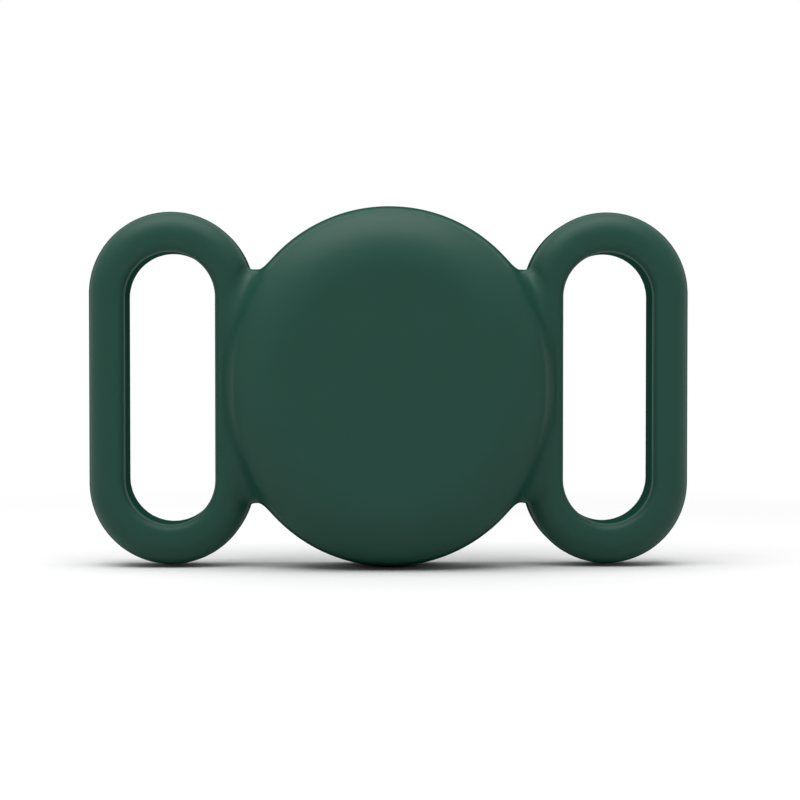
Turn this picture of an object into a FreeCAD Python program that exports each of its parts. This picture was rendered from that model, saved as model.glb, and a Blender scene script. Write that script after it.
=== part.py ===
"""Tracker tag holder: a silicone moulding with a domed pod and two strap loops, and its round tag.

Millimetres, +X right, +Y to the back, +Z up. The holder stands on z = 0 on the lower edge of its pod,
and y = 0 is the middle of its depth. Pieces are drawn about the tag's axis, with depth counted from
the front of the pod, and then stood up by place().
"""

import FreeCAD
import Part
import math
import os

# Coin cell: size, sheet thickness and the room between its own pieces
CELL_RADIUS = 10.0
CELL_HEIGHT = 3.2
CELL_STEEL = 0.25
CELL_FIT = 0.03
CELL_CRIMP = 0.8
CELL_GASKET_WALL = 0.7
CELL_GASKET_LIP = 0.12
CATHODE_HEIGHT = 1.3
SEPARATOR_HEIGHT = 0.12
LITHIUM_INSET = 0.6

# Tag: how its depth is made up, from the front of its shell to its back face
SHELL_WALL = 0.9
PART_HEADROOM = 0.55
BOARD_THICKNESS = 0.6
BOARD_BOND = 0.1
BASE_FLOOR = 0.5
SPRING_ROOM = 0.35
CELL_PLAY = 0.05
COVER_STEEL = 0.4
COVER_SINK = 0.05

# Tag: how its radius is made up, outwards from the cell
BAY_PLAY = 0.2
BAY_WALL = 0.7
SEAL_MARGIN = 0.05
SEAL_WIDTH = 0.6
RING_PLAY = 0.1
RING_WALL = 0.8
COVER_PLAY = 0.15
COVER_REST = 0.4
MOUTH_MARGIN = 0.5
LIP_ROUND = 0.5
LIP_LAND = 0.1
TAG_SHOULDER = 2.4

# Tag: casing details
TAG_FRONT_ROUND = 3.75
SPLIT_LAND = 0.2
SPLIT_GAP = 0.03
SPIGOT_LENGTH = 1.5
SPIGOT_PLAY = 0.1
WEB_THICKNESS = 0.7
LEDGE_THICKNESS = 0.55
SEAT_PLAY = 0.05
TAB_THICKNESS = 0.5
TAB_REACH = 0.85
TAB_PLAY = 0.1
TAB_COUNT = 3
TAB_ANGLE = 24.0
NOTCH_ANGLE = 30.0
UNLOCK_ANGLE = 30.0
DIMPLE_RADIUS = 1.5
DIMPLE_DEPTH = 0.15
DIMPLE_PITCH_SHARE = 0.66

# Tag: sounder
YOKE_WALL = 0.5
YOKE_FLOOR = 0.5
POLE_PLATE_HEIGHT = 0.5
POLE_ROOM = 0.45
COIL_GAP = 0.2
COIL_WALL = 0.7
COIL_BOND = 0.05
COIL_FLOOR_GAP = 0.3
LEAD_RADIUS = 0.09
LEAD_LAG_ANGLES = (20.0, 40.0)

# Tag: board, aerials and the parts on the board, as (along the rim, across the board, height)
BOARD_HOLE_PLAY = 0.4
BOARD_EDGE_PLAY = 0.2
CARRIER_WALL = 0.7
CARRIER_PLAY = 0.06
CARRIER_SEAT = 0.3
CARRIER_RISE = 0.45
AERIAL_THICKNESS = 0.15
AERIAL_ANGLES = ((10.0, 95.0), (125.0, 85.0), (235.0, 105.0))
SHIELD_SIZE = (7.0, 4.4, 1.1)
PROCESSOR_SIZE = (4.6, 4.6, 0.8)
MEMORY_SIZE = (3.0, 3.4, 0.6)
SENSOR_SIZE = (2.2, 2.2, 0.8)
CRYSTAL_SIZE = (2.0, 1.6, 0.5)
INDUCTOR_SIZE = (2.0, 2.0, 1.0)
CAPACITOR_SIZE = (1.6, 3.2, 1.3)
PASSIVE_SIZE = (1.0, 0.5, 0.35)
CRYSTAL_COUNT = 2
INDUCTOR_COUNT = 2
CAPACITOR_COUNT = 4
ROW_MARGIN = 0.26
ROW_GAP = 0.59
PART_GAP = 0.4
FIRST_PART_ANGLE = -34.0
PASSIVE_START_ANGLE = 12.0
PASSIVE_STEP_ANGLE = 24.0
PASSIVE_COUNT = 12

# Parts that stand one after the other round the middle of the board
BOARD_PARTS = [
    ("motion_sensor", SENSOR_SIZE),
    ("memory_chip", MEMORY_SIZE),
    ("processor_chip", PROCESSOR_SIZE),
    ("radio_shield", SHIELD_SIZE),
    *[("crystals", CRYSTAL_SIZE)] * CRYSTAL_COUNT,
    *[("inductors", INDUCTOR_SIZE)] * INDUCTOR_COUNT,
    *[("bulk_capacitors", CAPACITOR_SIZE)] * CAPACITOR_COUNT,
]

# Tag: battery springs
SPRING_STEEL = 0.12
SPRING_INSET = 2.6
SPRING_RING_WIDTH = 0.9
SPRING_TIP_RADIUS = 2.4
SPRING_TIP_GAP = 0.03
SPRING_SLOT_WIDTH = 1.6
SPRING_SLOT_COUNT = 3
SPRING_TAIL_RADIUS = 0.35
TAIL_PLAY = 0.12
LEAF_STEEL = 0.18
LEAF_WIDTH = 2.2
LEAF_FOOT = 1.8
LEAF_GAP = 0.04
LEAF_PLAY = 0.15
LEAF_ANGLES = (0.0, 180.0)

# Pod: walls round the tag, and its four-arc oval
TAG_FIT = 0.1
POD_FRONT_WALL = 2.0
POD_WALL = 1.65
LIP_THICKNESS = 1.8
OVAL_SPREAD = 2.54
OVAL_SIDE_GAIN = 8.26
DOME_REACH = 7.2
DOME_DEPTH = 5.4
DOME_RIM_SHARE = 0.72
BACK_ROUND = 0.8

# Strap loops
SLOT_WIDTH = 10.0
SLOT_HEIGHT = 30.4
LOOP_DROP = 0.2
INNER_BAR = 1.38
SIDE_BAR = 4.2
END_BAR = 4.6
LOOP_DEPTH = 6.8
LOOP_OUTER_ROUND = 2.6
LOOP_INNER_ROUND = 1.05
GUSSET_RISE = 1.78
GUSSET_SETBACK = 1.0
GUSSET_ROUND = 1.7
GUSSET_ROOT = 1.9

# How far every cutting shape runs past what it cuts
OVERRUN = 1.0

# Depths, from the front of the pod to its back
TALLEST_PART = max(size[2] for name, size in BOARD_PARTS)
TAG_FRONT = POD_FRONT_WALL + TAG_FIT
SHELL_INSIDE = TAG_FRONT + SHELL_WALL
TAG_ROUND_BACK = TAG_FRONT + TAG_FRONT_ROUND
BOARD_FRONT = SHELL_INSIDE + PART_HEADROOM + TALLEST_PART
BOARD_BACK = BOARD_FRONT + BOARD_THICKNESS
POLE_FRONT = SHELL_INSIDE + POLE_ROOM
POLE_BACK = POLE_FRONT + POLE_PLATE_HEIGHT
MAGNET_BACK = BOARD_BACK - YOKE_FLOOR
CARRIER_FRONT = BOARD_FRONT - CARRIER_RISE
AERIAL_FRONT = CARRIER_FRONT - AERIAL_THICKNESS
BASE_FRONT = BOARD_BACK + BOARD_BOND
BAY_FLOOR = BASE_FRONT + BASE_FLOOR
CELL_FRONT = BAY_FLOOR + SPRING_ROOM
CELL_BACK = CELL_FRONT + CELL_HEIGHT
COVER_FRONT = CELL_BACK + CELL_PLAY
COVER_BACK = COVER_FRONT + COVER_STEEL
TAG_BACK = COVER_BACK + COVER_SINK
SHOULDER_FRONT = TAG_BACK - TAG_SHOULDER
SPLIT = SHOULDER_FRONT - SPLIT_LAND
SPIGOT_FRONT = SPLIT - SPIGOT_LENGTH
LEDGE_BACK = COVER_FRONT - SEAT_PLAY
LEDGE_FRONT = LEDGE_BACK - LEDGE_THICKNESS
TAB_BACK = LEDGE_FRONT - TAB_PLAY
TAB_FRONT = TAB_BACK - TAB_THICKNESS
GROOVE_FRONT = TAB_FRONT - TAB_PLAY
WEB_FRONT = GROOVE_FRONT - WEB_THICKNESS
POCKET_BACK = TAG_BACK + TAG_FIT
POD_DEPTH = POCKET_BACK + LIP_THICKNESS
LOOP_FRONT = POD_DEPTH - LOOP_DEPTH

# Radii about the tag's axis, from the cell outwards
BAY_RADIUS = CELL_RADIUS + BAY_PLAY
BAY_OUTER = BAY_RADIUS + BAY_WALL
SPRING_RING_RADIUS = BAY_RADIUS - SPRING_INSET
SEAL_INNER = BAY_RADIUS + SEAL_MARGIN
SEAL_OUTER = SEAL_INNER + SEAL_WIDTH
RING_INNER = SEAL_OUTER + RING_PLAY
RING_OUTER = RING_INNER + RING_WALL
LEDGE_RADIUS = RING_OUTER + COVER_PLAY
TAB_RADIUS = RING_OUTER + TAB_REACH
GROOVE_RADIUS = TAB_RADIUS + COVER_PLAY
COVER_RADIUS = LEDGE_RADIUS + COVER_REST
RECESS_RADIUS = COVER_RADIUS + COVER_PLAY
MOUTH_RADIUS = RECESS_RADIUS + MOUTH_MARGIN
SHOULDER_RADIUS = MOUTH_RADIUS + LIP_ROUND + LIP_LAND
TAG_RADIUS = SHOULDER_RADIUS + TAG_SHOULDER
TAG_FLAT_RADIUS = TAG_RADIUS - TAG_FRONT_ROUND
SHELL_INNER = TAG_RADIUS - SHELL_WALL
SPIGOT_OUTER = SHELL_INNER - SPIGOT_PLAY
SHELL_INNER_ROUND = TAG_FRONT_ROUND - SHELL_WALL
AERIAL_ROOM = math.sqrt(SHELL_INNER_ROUND**2 - (TAG_ROUND_BACK - AERIAL_FRONT) ** 2)
CARRIER_OUTER = TAG_FLAT_RADIUS + AERIAL_ROOM - CARRIER_PLAY
CARRIER_INNER = CARRIER_OUTER - CARRIER_WALL
SPIGOT_INNER = CARRIER_OUTER - CARRIER_SEAT
WIDEST_PART = max(size[1] for name, size in BOARD_PARTS)
BOARD_WIDTH = WIDEST_PART + 2 * (ROW_GAP + PASSIVE_SIZE[1] + ROW_MARGIN)
BOARD_OUTER = CARRIER_INNER - BOARD_EDGE_PLAY
BOARD_INNER = BOARD_OUTER - BOARD_WIDTH
BOARD_MIDDLE = (BOARD_INNER + BOARD_OUTER) / 2
INNER_ROW = BOARD_INNER + ROW_MARGIN + PASSIVE_SIZE[1] / 2
OUTER_ROW = BOARD_OUTER - ROW_MARGIN - PASSIVE_SIZE[1] / 2
YOKE_RADIUS = BOARD_INNER - BOARD_HOLE_PLAY
COIL_OUTER = YOKE_RADIUS - YOKE_WALL - COIL_GAP
COIL_INNER = COIL_OUTER - COIL_WALL
MAGNET_RADIUS = COIL_INNER - COIL_GAP

# Pod outline: end arcs above and below the middle, and flatter side arcs between them
POD_END_RADIUS = TAG_RADIUS + TAG_FIT + POD_WALL
POD_SIDE_RADIUS = POD_END_RADIUS + OVAL_SIDE_GAIN
SIDE_CENTRE = math.sqrt(OVAL_SIDE_GAIN**2 - OVAL_SPREAD**2)
POD_HALF_WIDTH = POD_SIDE_RADIUS - SIDE_CENTRE
POD_HEIGHT = 2 * (POD_END_RADIUS + OVAL_SPREAD)
JOIN_ANGLE = math.degrees(math.atan2(OVAL_SPREAD, SIDE_CENTRE))
LOOP_CENTRE = POD_HALF_WIDTH + INNER_BAR + SLOT_WIDTH / 2

ORIGIN = FreeCAD.Vector(0, 0, 0)
RIGHT = FreeCAD.Vector(1, 0, 0)
AXIS = FreeCAD.Vector(0, 0, 1)
FULL_TURN = 360
HALF_TURN = 180
QUARTER_TURN = 90


def place(shape):
    """Stand a shape up: depth runs to the back, and the pod's lower edge comes to z = 0."""
    stood = shape.copy()
    stood.rotate(ORIGIN, RIGHT, -QUARTER_TURN)
    stood.translate(FreeCAD.Vector(0, -POD_DEPTH / 2, POD_HEIGHT / 2))
    return stood


def section(radius, depth):
    """A point of a section through the axis."""
    return FreeCAD.Vector(radius, 0, depth)


def section_arc(radius, depth, arc_radius, middle, end):
    """The middle and end points of an arc in a section, round a centre, at two angles in degrees."""
    points = []
    for angle in (middle, end):
        along = arc_radius * math.cos(math.radians(angle))
        deep = arc_radius * math.sin(math.radians(angle))
        points.append(section(radius + along, depth + deep))
    return tuple(points)


def outline(start, moves):
    """A face round a closed outline: a move is a point, or a pair of points for an arc."""
    edges = []
    here = start
    for move in [*moves, start]:
        if isinstance(move, tuple):
            there = move[-1]
            edges.append(Part.Arc(here, *move).toShape())
        else:
            there = move
            edges.append(Part.makeLine(here, there))
        here = there
    return Part.Face(Part.Wire(edges))


def turned(face):
    """A section turned once round the axis."""
    return face.revolve(ORIGIN, AXIS, FULL_TURN)


def disc(radius, front, back):
    return Part.makeCylinder(radius, back - front, section(0, front))


def ring(inner, outer, front, back):
    bore = disc(inner, front - OVERRUN, back + OVERRUN)
    return disc(outer, front, back).cut(bore)


def ring_sector(inner, outer, front, back, middle_angle, sweep):
    """A piece of a ring, centred on an angle about the axis."""
    corners = [section(outer, front), section(outer, back), section(inner, back)]
    face = outline(section(inner, front), corners)
    face.rotate(ORIGIN, AXIS, middle_angle - sweep / 2)
    return face.revolve(ORIGIN, AXIS, sweep)


def block(radius, angle, size, front):
    """A box standing on the board ring: its size runs along the rim, across the board and in depth."""
    along, across, height = size
    corner = FreeCAD.Vector(radius - across / 2, -along / 2, front)
    box = Part.makeBox(across, along, height, corner)
    box.rotate(ORIGIN, AXIS, angle)
    return box


def evenly(count, start=0.0):
    """Angles that share a full turn."""
    return [start + FULL_TURN * number / count for number in range(count)]


def joined(solids):
    """One clean solid out of several that meet or overlap."""
    return solids[0].multiFuse(solids[1:]).removeSplitter()


def group(solids):
    return Part.makeCompound(solids)


def oval_arcs():
    """The oval's arcs: centre across and up, radius, first angle and sweep."""
    end_sweep = HALF_TURN - 2 * JOIN_ANGLE
    side_sweep = 2 * JOIN_ANGLE
    return [
        (0, OVAL_SPREAD, POD_END_RADIUS, JOIN_ANGLE, end_sweep),
        (SIDE_CENTRE, 0, POD_SIDE_RADIUS, HALF_TURN - JOIN_ANGLE, side_sweep),
        (0, -OVAL_SPREAD, POD_END_RADIUS, HALF_TURN + JOIN_ANGLE, end_sweep),
        (-SIDE_CENTRE, 0, POD_SIDE_RADIUS, -JOIN_ANGLE, side_sweep),
    ]


def oval_plate(inset, front, back):
    """The pod's oval, drawn in by an inset and given a depth."""
    edges = []
    for across, up, radius, first, sweep in oval_arcs():
        circle = Part.Circle(FreeCAD.Vector(across, up, front), AXIS, radius - inset)
        ends = math.radians(first), math.radians(first + sweep)
        edges.append(Part.Arc(circle, *ends).toShape())
    face = Part.Face(Part.Wire(edges))
    return face.extrude(section(0, back - front))


def dome_section(radius):
    """The pod's edge from its flat front over the dome to its back, for an outline arc of a radius."""
    rim = DOME_RIM_SHARE * DOME_DEPTH
    crown = ((DOME_REACH - rim) ** 2 + DOME_DEPTH**2 - rim**2) / (2 * (DOME_DEPTH - rim))
    inner = radius - DOME_REACH
    lean = math.degrees(math.atan2(crown - DOME_DEPTH, DOME_REACH - rim))
    back_edge = POD_DEPTH - BACK_ROUND
    moves = [
        section_arc(inner, crown, crown, -(QUARTER_TURN + lean) / 2, -lean),
        section_arc(radius - rim, DOME_DEPTH, rim, -lean / 2, 0),
        section(radius, back_edge),
        section_arc(radius - BACK_ROUND, back_edge, BACK_ROUND, QUARTER_TURN / 2, QUARTER_TURN),
        section(inner, POD_DEPTH),
    ]
    return outline(section(inner, 0), moves)


def pod_blank():
    """The domed oval pod, before its pocket is cut."""
    pieces = [oval_plate(DOME_REACH, 0, POD_DEPTH)]
    for across, up, radius, first, sweep in oval_arcs():
        face = dome_section(radius)
        face.rotate(ORIGIN, AXIS, first)
        wedge = face.revolve(ORIGIN, AXIS, sweep)
        wedge.translate(FreeCAD.Vector(across, up, 0))
        pieces.append(wedge)
    return joined(pieces)


def stadium(width, height, front, back, across, up):
    """An upright stadium-shaped plate, with its middle across and up from the tag's axis."""
    half = width / 2
    straight = (height - width) / 2
    corners = [
        FreeCAD.Vector(half, straight, 0),
        FreeCAD.Vector(0, height / 2, 0),
        FreeCAD.Vector(-half, straight, 0),
        FreeCAD.Vector(-half, -straight, 0),
        FreeCAD.Vector(0, -height / 2, 0),
        FreeCAD.Vector(half, -straight, 0),
    ]
    face = outline(corners[0], [(corners[1], corners[2]), corners[3], (corners[4], corners[5])])
    plate = face.extrude(section(0, back - front))
    plate.translate(FreeCAD.Vector(across, up, front))
    return plate


def flat_face_at(solid, depth):
    """The flat face that lies square to the axis at a depth."""
    for face in solid.Faces:
        box = face.BoundBox
        if max(abs(box.ZMin - depth), abs(box.ZMax - depth)) < Part.Precision.approximation():
            return face
    raise ValueError(f"no flat face at depth {depth}")


def rounded_outline(solid, depth, radius):
    """Round the outer edge of the face at a depth."""
    return solid.makeFillet(radius, flat_face_at(solid, depth).OuterWire.Edges)


def rounded_holes(solid, depth, radius):
    """Round the edges of every hole in the face at a depth."""
    face = flat_face_at(solid, depth)
    edges = []
    for wire in face.Wires:
        if not wire.isSame(face.OuterWire):
            edges.extend(wire.Edges)
    return solid.makeFillet(radius, edges)


def strap_loop():
    """The right-hand strap loop: a stadium-shaped ring with rounded edges."""
    width = SLOT_WIDTH + 2 * SIDE_BAR
    height = SLOT_HEIGHT + 2 * END_BAR
    loop = stadium(width, height, LOOP_FRONT, POD_DEPTH, LOOP_CENTRE, -LOOP_DROP)
    cut_front, cut_back = LOOP_FRONT - OVERRUN, POD_DEPTH + OVERRUN
    loop = loop.cut(stadium(SLOT_WIDTH, SLOT_HEIGHT, cut_front, cut_back, LOOP_CENTRE, -LOOP_DROP))
    loop = rounded_outline(loop, LOOP_FRONT, LOOP_OUTER_ROUND)
    loop = rounded_holes(loop, LOOP_FRONT, LOOP_INNER_ROUND)
    loop = rounded_outline(loop, POD_DEPTH, BACK_ROUND)
    return rounded_holes(loop, POD_DEPTH, BACK_ROUND)


def crotch_height():
    """How far above the middle the outlines of the pod and of a loop cross at the upper end."""
    loop_radius = SLOT_WIDTH / 2 + SIDE_BAR
    up = SLOT_HEIGHT / 2 + END_BAR - loop_radius - LOOP_DROP - OVAL_SPREAD
    apart = math.hypot(LOOP_CENTRE, up)
    along = (POD_END_RADIUS**2 - loop_radius**2 + apart**2) / (2 * apart)
    aside = math.sqrt(POD_END_RADIUS**2 - along**2)
    return OVAL_SPREAD + (along * up + aside * LOOP_CENTRE) / apart


def gusset():
    """The web between the pod and the right-hand loop, which fills the bottom of both crotches."""
    half_height = crotch_height() + GUSSET_RISE
    front = LOOP_FRONT + GUSSET_SETBACK
    loop_side = LOOP_CENTRE - SLOT_WIDTH / 2 - SIDE_BAR
    corner = FreeCAD.Vector(loop_side - GUSSET_ROOT, -half_height, front)
    web = Part.makeBox(2 * GUSSET_ROOT, 2 * half_height, POD_DEPTH - front, corner)
    for depth, radius in ((front, GUSSET_ROUND), (POD_DEPTH, BACK_ROUND)):
        edges = flat_face_at(web, depth).Edges
        slack = Part.Precision.confusion()
        across = [edge for edge in edges if edge.tangentAt(edge.FirstParameter).cross(RIGHT).Length < slack]
        web = web.makeFillet(radius, across)
    return web


def pocket():
    """The hollow for the tag, with the mouth that the lip leaves open at the back."""
    back_of_lip = POD_DEPTH - LIP_ROUND
    lip_centre = MOUTH_RADIUS + LIP_ROUND
    front_round = TAG_FRONT_ROUND + TAG_FIT
    moves = [
        section(TAG_FLAT_RADIUS, POD_FRONT_WALL),
        section_arc(TAG_FLAT_RADIUS, TAG_ROUND_BACK, front_round, -QUARTER_TURN / 2, 0),
        section(TAG_RADIUS + TAG_FIT, SHOULDER_FRONT),
        section_arc(SHOULDER_RADIUS, SHOULDER_FRONT, TAG_SHOULDER + TAG_FIT, QUARTER_TURN / 2, QUARTER_TURN),
        section(lip_centre, POCKET_BACK),
        section_arc(lip_centre, POCKET_BACK + LIP_ROUND, LIP_ROUND, -QUARTER_TURN * 3 / 2, -HALF_TURN),
        section(MOUTH_RADIUS, back_of_lip),
        section_arc(lip_centre, back_of_lip, LIP_ROUND, QUARTER_TURN * 3 / 2, QUARTER_TURN),
        section(lip_centre, POD_DEPTH + OVERRUN),
        section(0, POD_DEPTH + OVERRUN),
    ]
    return turned(outline(section(0, POD_FRONT_WALL), moves))


def holder_body():
    """The moulding: pod, right-hand loop with its gusset, and the same mirrored, with the pocket cut out."""
    right = joined([strap_loop(), gusset()])
    left = right.mirror(ORIGIN, RIGHT)
    return joined([pod_blank(), right, left]).cut(pocket())


def tag_front_shell():
    """The domed front of the tag, open to the back."""
    rim = SPLIT - SPLIT_GAP
    moves = [
        section(TAG_FLAT_RADIUS, TAG_FRONT),
        section_arc(TAG_FLAT_RADIUS, TAG_ROUND_BACK, TAG_FRONT_ROUND, -QUARTER_TURN / 2, 0),
        section(TAG_RADIUS, rim),
        section(SHELL_INNER, rim),
        section(SHELL_INNER, TAG_ROUND_BACK),
        section_arc(TAG_FLAT_RADIUS, TAG_ROUND_BACK, SHELL_INNER_ROUND, -QUARTER_TURN / 2, -QUARTER_TURN),
        section(0, SHELL_INSIDE),
    ]
    return turned(outline(section(0, TAG_FRONT), moves))


def leaf_window(angle):
    """The opening in the bay's wall and floor that a positive leaf stands in."""
    width = LEAF_WIDTH + 2 * LEAF_PLAY
    reach = BAY_OUTER - CELL_RADIUS + OVERRUN
    height = WEB_FRONT - BASE_FRONT + OVERRUN
    return block(CELL_RADIUS + reach / 2, angle, (width, reach, height), BASE_FRONT - OVERRUN)


def spring_tail(radius, front, back):
    """The pin that takes the negative spring through the bay's floor to the board."""
    tail = disc(radius, front, back)
    tail.translate(section(SPRING_RING_RADIUS, 0))
    tail.rotate(ORIGIN, AXIS, QUARTER_TURN)
    return tail


def tag_base():
    """The back of the tag: battery bay, spigot into the shell, bayonet groove and rounded rim."""
    moves = [
        section(BAY_OUTER, BASE_FRONT),
        section(BAY_OUTER, WEB_FRONT),
        section(SPIGOT_INNER, WEB_FRONT),
        section(SPIGOT_INNER, SPIGOT_FRONT),
        section(SPIGOT_OUTER, SPIGOT_FRONT),
        section(SPIGOT_OUTER, SPLIT),
        section(TAG_RADIUS, SPLIT),
        section(TAG_RADIUS, SHOULDER_FRONT),
        section_arc(SHOULDER_RADIUS, SHOULDER_FRONT, TAG_SHOULDER, QUARTER_TURN / 2, QUARTER_TURN),
        section(RECESS_RADIUS, TAG_BACK),
        section(RECESS_RADIUS, LEDGE_BACK),
        section(LEDGE_RADIUS, LEDGE_BACK),
        section(LEDGE_RADIUS, LEDGE_FRONT),
        section(GROOVE_RADIUS, LEDGE_FRONT),
        section(GROOVE_RADIUS, GROOVE_FRONT),
        section(BAY_RADIUS, GROOVE_FRONT),
        section(BAY_RADIUS, BAY_FLOOR),
        section(0, BAY_FLOOR),
    ]
    base = turned(outline(section(0, BASE_FRONT), moves))
    cuts = []
    for angle in evenly(TAB_COUNT, UNLOCK_ANGLE):
        notch = ring_sector(RING_OUTER, GROOVE_RADIUS, TAB_BACK, COVER_FRONT, angle, NOTCH_ANGLE)
        cuts.append(notch)
    cuts.extend(leaf_window(angle) for angle in LEAF_ANGLES)
    cuts.append(spring_tail(SPRING_TAIL_RADIUS + TAIL_PLAY, BASE_FRONT - OVERRUN, BAY_FLOOR + OVERRUN))
    return base.cut(cuts)


def antenna_carrier():
    """Plastic ring that stands on the base's spigot, round the board."""
    return ring(CARRIER_INNER, CARRIER_OUTER, CARRIER_FRONT, SPIGOT_FRONT)


def antenna_strips():
    """Three flat aerials on the carrier's front edge."""
    strips = []
    for first, sweep in AERIAL_ANGLES:
        middle = first + sweep / 2
        strips.append(ring_sector(CARRIER_INNER, CARRIER_OUTER, AERIAL_FRONT, CARRIER_FRONT, middle, sweep))
    return group(strips)


def circuit_board():
    return ring(BOARD_INNER, BOARD_OUTER, BOARD_FRONT, BOARD_BACK)


def on_board(radius, angle, size):
    """A part on the front of the board."""
    return block(radius, angle, size, BOARD_FRONT - size[-1])


def half_angle(size):
    """Half the angle that a part and its share of the gap take up round the middle of the board."""
    along, across, height = size
    return math.degrees(math.atan2((along + PART_GAP) / 2, BOARD_MIDDLE - across / 2))


def parts_round_the_board():
    """The larger parts, one after the other round the board, as one group of each kind."""
    solids = {}
    angle = FIRST_PART_ANGLE
    for name, size in BOARD_PARTS:
        angle += half_angle(size)
        solids.setdefault(name, []).append(on_board(BOARD_MIDDLE, angle, size))
        angle += half_angle(size)
    return {name: group(alike) for name, alike in solids.items()}


def small_passives():
    """Rows of small resistors and capacitors along both edges of the board."""
    solids = []
    for radius in (INNER_ROW, OUTER_ROW):
        for number in range(PASSIVE_COUNT):
            angle = PASSIVE_START_ANGLE + PASSIVE_STEP_ANGLE * number
            solids.append(on_board(radius, angle, PASSIVE_SIZE))
    return group(solids)


def speaker_yoke():
    """Steel cup that carries the magnet, bonded to the front of the base."""
    cup = disc(YOKE_RADIUS, POLE_FRONT, BOARD_BACK)
    return cup.cut(disc(YOKE_RADIUS - YOKE_WALL, POLE_FRONT - OVERRUN, MAGNET_BACK))


def speaker_magnet():
    return disc(MAGNET_RADIUS, POLE_BACK, MAGNET_BACK)


def speaker_pole_plate():
    return disc(MAGNET_RADIUS, POLE_FRONT, POLE_BACK)


def voice_coil():
    """Coil on the inside of the front shell, in the gap between magnet and yoke."""
    return ring(COIL_INNER, COIL_OUTER, SHELL_INSIDE + COIL_BOND, MAGNET_BACK - COIL_FLOOR_GAP)


def coil_leads():
    """Two fine wires from the coil along the shell and down to the board, beside the first part."""
    along = SHELL_INSIDE + COIL_BOND + LEAD_RADIUS
    landing = INNER_ROW + PASSIVE_SIZE[1]
    leads = []
    for lag in LEAD_LAG_ANGLES:
        run = Part.makeCylinder(LEAD_RADIUS, landing - COIL_OUTER, section(COIL_OUTER, along), RIGHT)
        drop = Part.makeCylinder(LEAD_RADIUS, BOARD_FRONT - along, section(landing, along))
        lead = joined([run, Part.makeSphere(LEAD_RADIUS, section(landing, along)), drop])
        lead.rotate(ORIGIN, AXIS, FIRST_PART_ANGLE - lag)
        leads.append(lead)
    return group(leads)


def negative_contact():
    """Dished spring that presses on the cell's cap, with a pin through the floor to the board."""
    foot_inner = SPRING_RING_RADIUS - SPRING_RING_WIDTH / 2
    foot_outer = SPRING_RING_RADIUS + SPRING_RING_WIDTH / 2
    tip = CELL_FRONT - SPRING_TIP_GAP
    moves = [
        section(foot_outer, BAY_FLOOR),
        section(foot_outer, BAY_FLOOR + SPRING_STEEL),
        section(foot_inner, BAY_FLOOR + SPRING_STEEL),
        section(SPRING_TIP_RADIUS, tip),
        section(SPRING_TIP_RADIUS, tip - SPRING_STEEL),
    ]
    dish = turned(outline(section(foot_inner, BAY_FLOOR), moves))
    slots = []
    for angle in evenly(SPRING_SLOT_COUNT, QUARTER_TURN):
        size = (SPRING_SLOT_WIDTH, foot_inner, SPRING_ROOM + OVERRUN)
        slots.append(block(foot_inner / 2, angle, size, BAY_FLOOR - OVERRUN / 2))
    tail = spring_tail(SPRING_TAIL_RADIUS, BOARD_BACK, BAY_FLOOR + SPRING_STEEL)
    return joined([dish.cut(slots), tail])


def positive_contacts():
    """Leaves that press on the side of the cell, with a foot on the board."""
    inner = CELL_RADIUS + LEAF_GAP
    leaves = []
    for angle in LEAF_ANGLES:
        upright = (LEAF_WIDTH, LEAF_STEEL, WEB_FRONT - LEAF_PLAY - BOARD_BACK)
        foot = (LEAF_WIDTH, LEAF_FOOT, BASE_FRONT - BOARD_BACK)
        stem = block(inner + LEAF_STEEL / 2, angle, upright, BOARD_BACK)
        leaves.append(joined([stem, block(inner + LEAF_FOOT / 2, angle, foot, BOARD_BACK)]))
    return group(leaves)


def cell_can():
    """Outer cup of the cell, its base to the back and its edge curled in at the front."""
    inside = CELL_RADIUS - CELL_STEEL
    front = CELL_FRONT + CELL_GASKET_LIP
    moves = [
        section(CELL_RADIUS, front),
        section(CELL_RADIUS, CELL_BACK),
        section(0, CELL_BACK),
        section(0, CELL_BACK - CELL_STEEL),
        section(inside, CELL_BACK - CELL_STEEL),
        section(inside, front + CELL_STEEL),
        section(CELL_RADIUS - CELL_CRIMP, front + CELL_STEEL),
    ]
    return turned(outline(section(CELL_RADIUS - CELL_CRIMP, front), moves))


def cap_radius():
    """Radius of the cell's cap, inside its gasket."""
    return CELL_RADIUS - CELL_STEEL - 2 * CELL_FIT - CELL_GASKET_WALL


def cell_gasket():
    """Sealing ring between can and cap, with a thin lip at the edge that shows."""
    inner = cap_radius() + CELL_FIT
    outer = CELL_RADIUS - CELL_STEEL - CELL_FIT
    lip_outer = CELL_RADIUS - CELL_CRIMP - CELL_FIT
    front = CELL_FRONT + CELL_GASKET_LIP
    shoulder = front + CELL_STEEL + CELL_FIT
    back = CELL_BACK - CELL_STEEL - CELL_FIT
    return joined([ring(inner, outer, shoulder, back), ring(inner, lip_outer, front, shoulder)])


def cell_cap():
    """Inner cup of the cell, its face to the front."""
    radius = cap_radius()
    skirt = CELL_BACK - CELL_STEEL - CATHODE_HEIGHT
    cup = disc(radius, CELL_FRONT, skirt)
    return cup.cut(disc(radius - CELL_STEEL, CELL_FRONT + CELL_STEEL, skirt + OVERRUN))


def cell_filling_radius():
    return cap_radius() - CELL_STEEL - CELL_FIT


def cathode_pellet():
    back = CELL_BACK - CELL_STEEL - CELL_FIT
    return disc(cell_filling_radius(), back - CATHODE_HEIGHT, back)


def cell_separator():
    back = CELL_BACK - CELL_STEEL - 2 * CELL_FIT - CATHODE_HEIGHT
    return disc(cell_filling_radius(), back - SEPARATOR_HEIGHT, back)


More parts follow.
